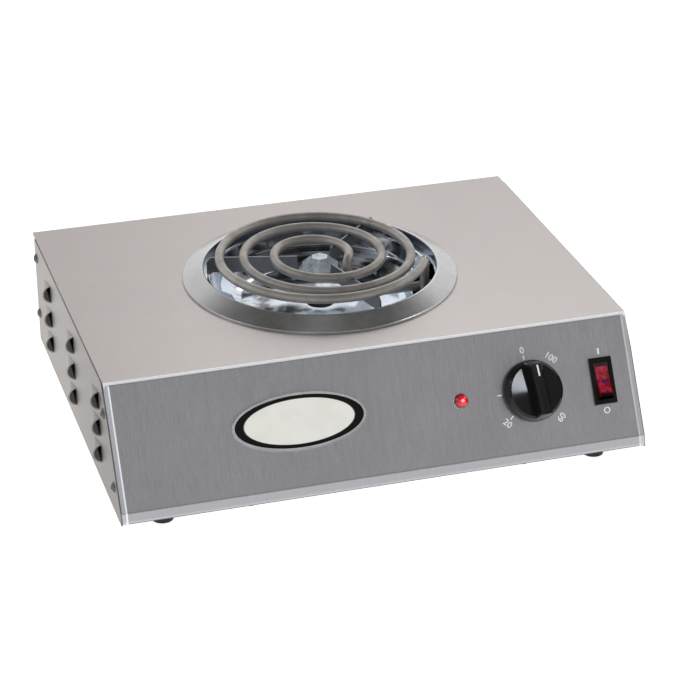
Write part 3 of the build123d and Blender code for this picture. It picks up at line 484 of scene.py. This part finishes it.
def red_lens(tone):
    """Red dome with a painted glow in the middle and painted shade darkening it towards its rim.
    """
    paint = Paint("red_lens")
    centre = middle("lamp_lens")
    out = length(paint.along(FRONT_RIGHT, centre), paint.along(FRONT_UP, centre))
    cell = paint.noise(scale=900.0, detail=2.0)
    # painted shade: darker towards the rim of the dome
    tint = paint.blend(out.between(1.5 * MM, LENS_R), tone, darker(tone, 0.25))
    # painted glow, strongest in the middle
    glow = paint.blend(out.between(0.0, LENS_R * 0.9), darker(tone, 0.5), (0, 0, 0))
    return paint.finish(Base_Color=tint, Roughness=0.1 + (cell - 0.5) * 0.06,
                        Emission_Color=glow, Emission_Strength=0.9, Coat_Weight=1.0)


def red_rocker(tone):
    """Red rocker with a painted glow round a violet dot, painted shade falling off to black at its
    ends and darker along its sides.
    """
    paint = Paint("red_rocker")
    centre = middle("switch_rocker")
    across = paint.along(FRONT_RIGHT, centre)
    up = paint.along(FRONT_UP, centre)
    from_dot = length(across - 0.6 * MM, up + 1.0 * MM)
    mottle = paint.noise(scale=420.0, detail=3.0, rough=0.6)
    lit = (tone[0] * 0.95, tone[1] * 4, tone[2] * 6)
    tint = paint.blend(mottle.between(0.35, 0.65), darker(tone, 0.35), lit)
    # painted shade: black towards both ends
    tint = paint.blend(up.absolute().between(8.2 * MM, 10.0 * MM), tint, (0.004, 0.001, 0.001))
    # painted shade: darker along both sides
    tint = paint.blend(across.absolute().between(3.6 * MM, 4.8 * MM), tint, darker(tone, 0.12))
    tint = paint.blend(from_dot.between(1.2 * MM, 2.6 * MM), (0.085, 0.014, 0.075), tint)
    # painted light: the whole rocker glows from its own colour
    return paint.finish(Base_Color=tint, Roughness=0.16 + (mottle - 0.5) * 0.1,
                        Emission_Color=tint, Emission_Strength=0.3, Coat_Weight=0.6)


def badge_field(tone):
    """Pale oval inside a black band that is widest at the two ends, lifted by a painted glow."""
    paint = Paint("badge_field")
    centre = middle("badge_plate")
    low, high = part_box("badge_plate")
    half_tall = (high.z - low.z) / 2 / FRONT_UP.z
    across = paint.along(FRONT_RIGHT, centre) / (half_width("badge_plate") * 0.855)
    up = paint.along(FRONT_UP, centre) / (half_tall * 0.84)
    cloud = paint.noise(scale=120.0, detail=4.0)
    pale = paint.blend(cloud.between(0.3, 0.7), darker(tone, 0.94), tone)
    tint = paint.blend(length(across, up).between(0.985, 1.015), pale, (0.006, 0.006, 0.006))
    # painted light: the badge glows from its own colour
    return paint.finish(Base_Color=tint, Roughness=0.22 + (cloud - 0.5) * 0.08,
                        Emission_Color=tint, Emission_Strength=0.32, Specular_IOR_Level=0.2)


# ---- helpers of the operators --------------------------------------------------------------
def skin(material, *nodes):
    """Gives nodes of the hot plate a material."""
    for name in nodes:
        if name not in frame["nodes"]:
            raise RuntimeError("The hot plate has no piece called " + name)
        mesh = frame["nodes"][name].data
        mesh.materials.clear()
        mesh.materials.append(material)


def nodes_with(word):
    """Names of the nodes that hold a word."""
    found = [name for name in frame["nodes"] if word in name]
    if not found:
        raise RuntimeError("The hot plate has no piece with " + word + " in its name")
    return found


def text_mesh(text, tall):
    """Raised characters of a given height."""
    curve = bpy.data.curves.new("text", "FONT")
    curve.body = text
    curve.size = tall * 1.4
    curve.align_x, curve.align_y = "CENTER", "CENTER"
    curve.extrude = INK
    curve.offset = 0.012 * tall
    holder = bpy.data.objects.new("text", curve)
    mesh = bpy.data.meshes.new_from_object(holder)
    bpy.data.objects.remove(holder)
    bpy.data.curves.remove(curve)
    return mesh


def bar_mesh(wide, tall):
    """A raised upright bar."""
    shape = bmesh.new()
    bmesh.ops.create_cube(shape, size=1, matrix=Matrix.Diagonal((wide, tall, INK * 2, 1)))
    mesh = bpy.data.meshes.new("bar")
    shape.to_mesh(mesh)
    shape.free()
    return mesh


def printed(name, marks, material):
    """One piece made of (mesh, place) marks."""
    whole = bmesh.new()
    for mesh, place in marks:
        mesh.transform(place)
        whole.from_mesh(mesh)
        bpy.data.meshes.remove(mesh)
    if not whole.faces:
        raise RuntimeError("Nothing was printed for " + name)
    data = bpy.data.meshes.new(name)
    whole.to_mesh(data)
    whole.free()
    data.materials.append(material)
    piece = bpy.data.objects.new(name, data)
    bpy.context.scene.collection.objects.link(piece)
    return piece


def ink():
    """White print with a faint painted glow."""
    return moulded("printed_white", (0.95, 0.95, 0.95), roughness=0.5, texture=0.2, glow=0.25)


# ---- operators -----------------------------------------------------------------------------
class HOTPLATE_OT_stage(bpy.types.Operator):
    """Lay the floor, hang the lights and set the camera"""

    bl_idname = "hotplate.stage"
    bl_label = "Stage"

    floor_half = 12.0
    camera_at = Vector((-0.4342, -1.4953, 0.8204))
    yaw, pitch, roll = radians(16.75), radians(26.64), radians(-0.2)
    depth_stops = ((0.0, 0.34), (0.3, 0.42), (0.62, 0.8), (1.0, 0.95))
    height_stops = ((0.0, 1.0), (0.58, 0.95), (0.74, 0.3), (0.86, 0.11), (0.978, 0.12),
                    (0.993, 0.7))
    # name, direction from the burner, distance, size, brightness, colour
    boxes = (("rear", (0.35, 0.75, 0.62), 2.0, (1.0, 0.5), 1.3, (0.95, 0.98, 1.0)),
             ("left", (-0.85, 0.1, 0.62), 1.8, (0.6, 0.3), 1.9, (0.72, 0.86, 1.0)),
             ("right", (0.85, -0.1, 0.62), 1.8, (0.6, 0.3), 2.1, (1.0, 0.99, 0.97)),
             ("front", (-0.45, -0.75, 0.62), 2.2, (0.5, 0.3), 1.9, (0.76, 0.88, 1.0)))
    # node, shift across and up, size, brightness
    cards = (("control_knob", (-0.060, 0.036), (0.054, 0.062), 20.0),
             ("lamp_lens", (0.0, 0.06), (0.7, 0.6), 7.0))
    card_away = 0.8

    def execute(self, context):
        self.floor(context)
        self.room(context)
        for name, way, far, size, glow, tint in self.boxes:
            at = BURNER + Vector(way).normalized() * far
            self.soft_box(context, name, at, BURNER, size, glow, tint)
        for card in self.cards:
            self.gloss_card(context, *card)
        self.camera(context)
        return {"FINISHED"}

    def floor(self, context):
        """A wide pale floor."""
        half = self.floor_half
        mesh = bpy.data.meshes.new("floor")
        corners = [(-half, -half, 0), (half, -half, 0), (half, half, 0), (-half, half, 0)]
        mesh.from_pydata(corners, [], [(0, 1, 2, 3)])
        mesh.materials.append(Paint("pale_floor").finish(
            Base_Color=(0.82, 0.82, 0.82), Roughness=0.9, Emission_Color=(1, 1, 1),
            Emission_Strength=0.86))
        floor = bpy.data.objects.new("floor", mesh)
        context.scene.collection.objects.link(floor)

    def room(self, context):
        """A pale room, dim in front and under the ceiling, with a skylight overhead."""
        world = Shader(bpy.data.worlds.new("studio"), "ShaderNodeOutputWorld",
                       "ShaderNodeBackground")
        way = world.node("ShaderNodeTexCoord", out=0)
        depth = world.ramp(world.node("ShaderNodeSeparateXYZ", {}, {0: way}, out=1), -1, 1,
                           self.depth_stops)
        height = world.ramp(world.node("ShaderNodeSeparateXYZ", {}, {0: way}, out=2), 0, 1,
                            self.height_stops)
        context.scene.world = world.finish(Color=world.blend(1.0, depth, height, "MULTIPLY"),
                                           Strength=1.0)
        context.scene.view_settings.view_transform = "Standard"
        context.scene.view_settings.look = "None"

    def soft_box(self, context, name, at, target, size, glow, tint):
        """One rectangular area light of a given brightness, aimed at a point."""
        lamp = bpy.data.lights.new(name, "AREA")
        lamp.shape = "RECTANGLE"
        lamp.size, lamp.size_y = size
        lamp.energy = glow * pi * size[0] * size[1]
        lamp.color = tint
        box = bpy.data.objects.new(name, lamp)
        box.location = at
        box.rotation_euler = (target - at).to_track_quat("-Z", "Y").to_euler()
        context.scene.collection.objects.link(box)
        return box

    def gloss_card(self, context, node, shift, size, glow):
        """A small card that only one node mirrors towards the camera."""
        face = middle(node)
        toward = (face - self.camera_at).normalized()
        bounce = toward - 2 * toward.dot(FRONT_OUT) * FRONT_OUT
        at = face + bounce * self.card_away + FRONT_RIGHT * shift[0] + FRONT_UP * shift[1]
        card = self.soft_box(context, node + "_card", at, face, size, glow, (0.88, 0.93, 1.0))
        lit = bpy.data.collections.new(node + "_lit")
        lit.objects.link(frame["nodes"][node])
        card.light_linking.receiver_collection = lit

    def camera(self, context):
        """Camera to the left of the burner, above it, looking down to the right."""
        data = bpy.data.cameras.new("camera")
        data.sensor_width = 36.0
        data.lens = context.scene.hot_plate_sizes.lens
        data.clip_end = 50.0
        camera = bpy.data.objects.new("camera", data)
        camera.rotation_mode = "QUATERNION"
        turn = Matrix.Rotation(-self.yaw, 4, "Z") @ Matrix.Rotation(pi / 2 - self.pitch, 4, "X")
        camera.matrix_world = (Matrix.Translation(self.camera_at) @ turn
                               @ Matrix.Rotation(self.roll, 4, "Z"))
        context.scene.collection.objects.link(camera)
        context.scene.camera = camera


class HOTPLATE_OT_sheet_metal(bpy.types.Operator):
    """Finish the folded shell, the panels and the hidden sheet pieces"""

    bl_idname = "hotplate.sheet_metal"
    bl_label = "Sheet Metal"

    def execute(self, context):
        colors = context.scene.hot_plate_finishes
        skin(shell_steel(colors.deck, colors.front), "top_shell")
        # the sides take painted shade towards the front and a faint painted glow on the scoops
        skin(brushed_steel("satin_sides", colors.side, crossed=(0, 0, 1), front_shade=0.45, scoop_glow=0.05),
             "left_side_panel", "right_side_panel", "back_panel")
        skin(brushed_steel("zinc_sheet", (0.45, 0.46, 0.47), cloud=0.12),
             "base_plate", "heat_shield", "receptacle_bracket")
        return {"FINISHED"}


class HOTPLATE_OT_fasteners(bpy.types.Operator):
    """Finish the screws, the nuts and the earth stud"""

    bl_idname = "hotplate.fasteners"
    bl_label = "Fasteners"

    def execute(self, context):
        skin(polished("plated_screws", (0.13, 0.128, 0.135), 0.3),
             *nodes_with("screw"), "earth_stud", "earth_nut", "foot_nuts")
        return {"FINISHED"}


class HOTPLATE_OT_burner(bpy.types.Operator):
    """Finish the trim ring, the drip bowl, the coil and its support"""

    bl_idname = "hotplate.burner"
    bl_label = "Burner"

    def execute(self, context):
        colors = context.scene.hot_plate_finishes
        skin(spun_ring(colors.ring), "trim_ring")
        skin(bright_bowl(colors.bowl), "drip_bowl")
        skin(polished("dull_support", (0.25, 0.25, 0.26), 0.4), "coil_support")
        skin(pale_tin((0.66, 0.73, 0.80)), "support_medallion")
        skin(element_sheath(colors.sheath), "heating_coil")
        return {"FINISHED"}


class HOTPLATE_OT_controls(bpy.types.Operator):
    """Finish the knob, the pilot lens, the rocker switch and the other black mouldings"""

    bl_idname = "hotplate.controls"
    bl_label = "Controls"

    def execute(self, context):
        colors = context.scene.hot_plate_finishes
        skin(moulded("black_gloss", colors.moulding, roughness=0.07, texture=0.0, shine=0.3),
             "control_knob")
        skin(moulded("black_moulding", darker(colors.moulding, 0.6), roughness=0.35, shine=0.25),
             "switch_housing", "control_case", "control_terminal_board", "cord_gland", "gland_nut")
        skin(red_lens(colors.red), "lamp_lens")
        skin(red_rocker(colors.red), "switch_rocker")
        return {"FINISHED"}


class HOTPLATE_OT_badge(bpy.types.Operator):
    """Finish the blank oval badge and its rim"""

    bl_idname = "hotplate.badge"
    bl_label = "Badge"

    def execute(self, context):
        skin(badge_field(context.scene.hot_plate_finishes.badge), "badge_plate")
        skin(moulded("badge_edge", (0.62, 0.62, 0.64), roughness=0.25, texture=0.3, coat=0.5),
             "badge_rim")
        return {"FINISHED"}


class HOTPLATE_OT_feet(bpy.types.Operator):
    """Finish the rubber feet"""

    bl_idname = "hotplate.feet"
    bl_label = "Feet"

    def execute(self, context):
        skin(moulded("black_rubber", (0.012, 0.012, 0.012), roughness=0.7, texture=1.5),
             "foot_front_left", "foot_front_right", "foot_rear_left", "foot_rear_right")
        return {"FINISHED"}


class HOTPLATE_OT_inner_pieces(bpy.types.Operator):
    """Finish the electrical pieces inside the housing"""

    bl_idname = "hotplate.inner_pieces"
    bl_label = "Inner Pieces"

    def execute(self, context):
        skin(polished("bare_blades", (0.6, 0.6, 0.6), 0.3),
             "element_blades", "control_shaft", "knob_spring", "lamp_clip")
        skin(polished("tinned_brass", (0.75, 0.62, 0.35), 0.25),
             "receptacle_contacts", "control_tabs", "control_bimetal", "switch_tabs")
        skin(moulded("ceramic_body", (0.75, 0.71, 0.63), roughness=0.6, texture=2.0),
             "receptacle_block")
        skin(moulded("natural_nylon", (0.7, 0.68, 0.6), roughness=0.45),
             "lamp_body", "lamp_bulb", "control_cam", "terminal_block")
        skin(moulded("lead_sleeve", (0.62, 0.58, 0.5), roughness=0.8, texture=6.0),
             *nodes_with("wire_"))
        return {"FINISHED"}


class HOTPLATE_OT_printing(bpy.types.Operator):
    """Print the dial's numbers and ticks and the switch's symbols"""

    bl_idname = "hotplate.printing"
    bl_label = "Printing"

    # what, clockwise from the top in degrees, distance from the knob's centre
    numbers = (("0", 354, 28.0 * MM), ("100", 39, 26.3 * MM), ("60", 139, 27.2 * MM),
               ("20", 227, 28.4 * MM))
    ticks = ((354, 23.0 * MM), (227, 23.2 * MM), (270, 23.4 * MM))
    number_tall = 4.5 * MM
    tick = (0.9 * MM, 3.0 * MM)
    bar = (1.3 * MM, 4.2 * MM)
    ring_tall = 4.4 * MM
    bar_up, ring_up = 20.2 * MM, -20.4 * MM

    def around(self, angle, reach, lean):
        """Place on the dial with the mark's top turned by a lean."""
        place = on_front(sin(angle) * reach, cos(angle) * reach, INK)
        return place @ Matrix.Rotation(lean, 4, "Z")

    def execute(self, context):
        marks = []
        for text, degrees_round, reach in self.numbers:
            angle = radians(degrees_round)
            lean = -angle if cos(angle) > 0 else pi - angle
            place = self.around(angle, reach, lean)
            marks.append((text_mesh(text, self.number_tall), place))
        for degrees_round, reach in self.ticks:
            angle = radians(degrees_round)
            marks.append((bar_mesh(*self.tick), self.around(angle, reach, -angle)))
        switch_x = (middle("switch_housing") - KNOB_AT).dot(FRONT_RIGHT)
        marks.append((bar_mesh(*self.bar), on_front(switch_x, self.bar_up, INK)))
        marks.append((text_mesh("O", self.ring_tall), on_front(switch_x, self.ring_up, INK)))
        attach(printed("printed_marks", marks, ink()), "housing")
        return {"FINISHED"}


class HOTPLATE_OT_knob_line(bpy.types.Operator):
    """Print the white line along the top of the knob"""

    bl_idname = "hotplate.knob_line"
    bl_label = "Knob Line"

    def execute(self, context):
        knob = frame["nodes"]["control_knob"].data.vertices
        top = max((vertex.co - KNOB_AT).dot(FRONT_OUT) for vertex in knob)
        place = on_front(0, 0, top - INK * 0.5) @ Matrix.Rotation(KNOB_REST, 4, "Z")
        line = bar_mesh(1.1 * MM, 0.37 * KNOB_R)
        marks = [(line, place @ Matrix.Translation((0, 0.6 * KNOB_R, 0)))]
        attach(printed("knob_line", marks, ink()), "knob")
        return {"FINISHED"}


OPERATORS = (HOTPLATE_OT_stage, HOTPLATE_OT_sheet_metal, HOTPLATE_OT_fasteners,
             HOTPLATE_OT_burner, HOTPLATE_OT_controls, HOTPLATE_OT_badge, HOTPLATE_OT_feet,
             HOTPLATE_OT_inner_pieces, HOTPLATE_OT_printing, HOTPLATE_OT_knob_line)


class HOTPLATE_PT_panel(bpy.types.Panel):
    """Lists the hot plate's settings and operators"""

    bl_idname = "HOTPLATE_PT_panel"
    bl_label = "Hot Plate"
    bl_space_type = "VIEW_3D"
    bl_region_type = "UI"
    bl_category = "Hot Plate"

    def draw(self, context):
        for group in (context.scene.hot_plate_finishes, context.scene.hot_plate_sizes):
            for key in type(group).__annotations__:
                self.layout.prop(group, key)
        for operator in OPERATORS:
            self.layout.operator(operator.bl_idname)


CLASSES = (HotPlateFinishes, HotPlateSizes, *OPERATORS, HOTPLATE_PT_panel)


def register():
    """Adds the classes and the scene's properties."""
    for cls in CLASSES:
        bpy.utils.register_class(cls)
    bpy.types.Scene.hot_plate_finishes = PointerProperty(type=HotPlateFinishes)
    bpy.types.Scene.hot_plate_sizes = PointerProperty(type=HotPlateSizes)


def unregister():
    """Removes what register added."""
    del bpy.types.Scene.hot_plate_sizes
    del bpy.types.Scene.hot_plate_finishes
    for cls in reversed(CLASSES):
        bpy.utils.unregister_class(cls)


def main():
    """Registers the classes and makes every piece."""
    register()
    for operator in OPERATORS:
        group, name = operator.bl_idname.split(".")
        getattr(getattr(bpy.ops, group), name)()


if __name__ == "__main__":
    main()
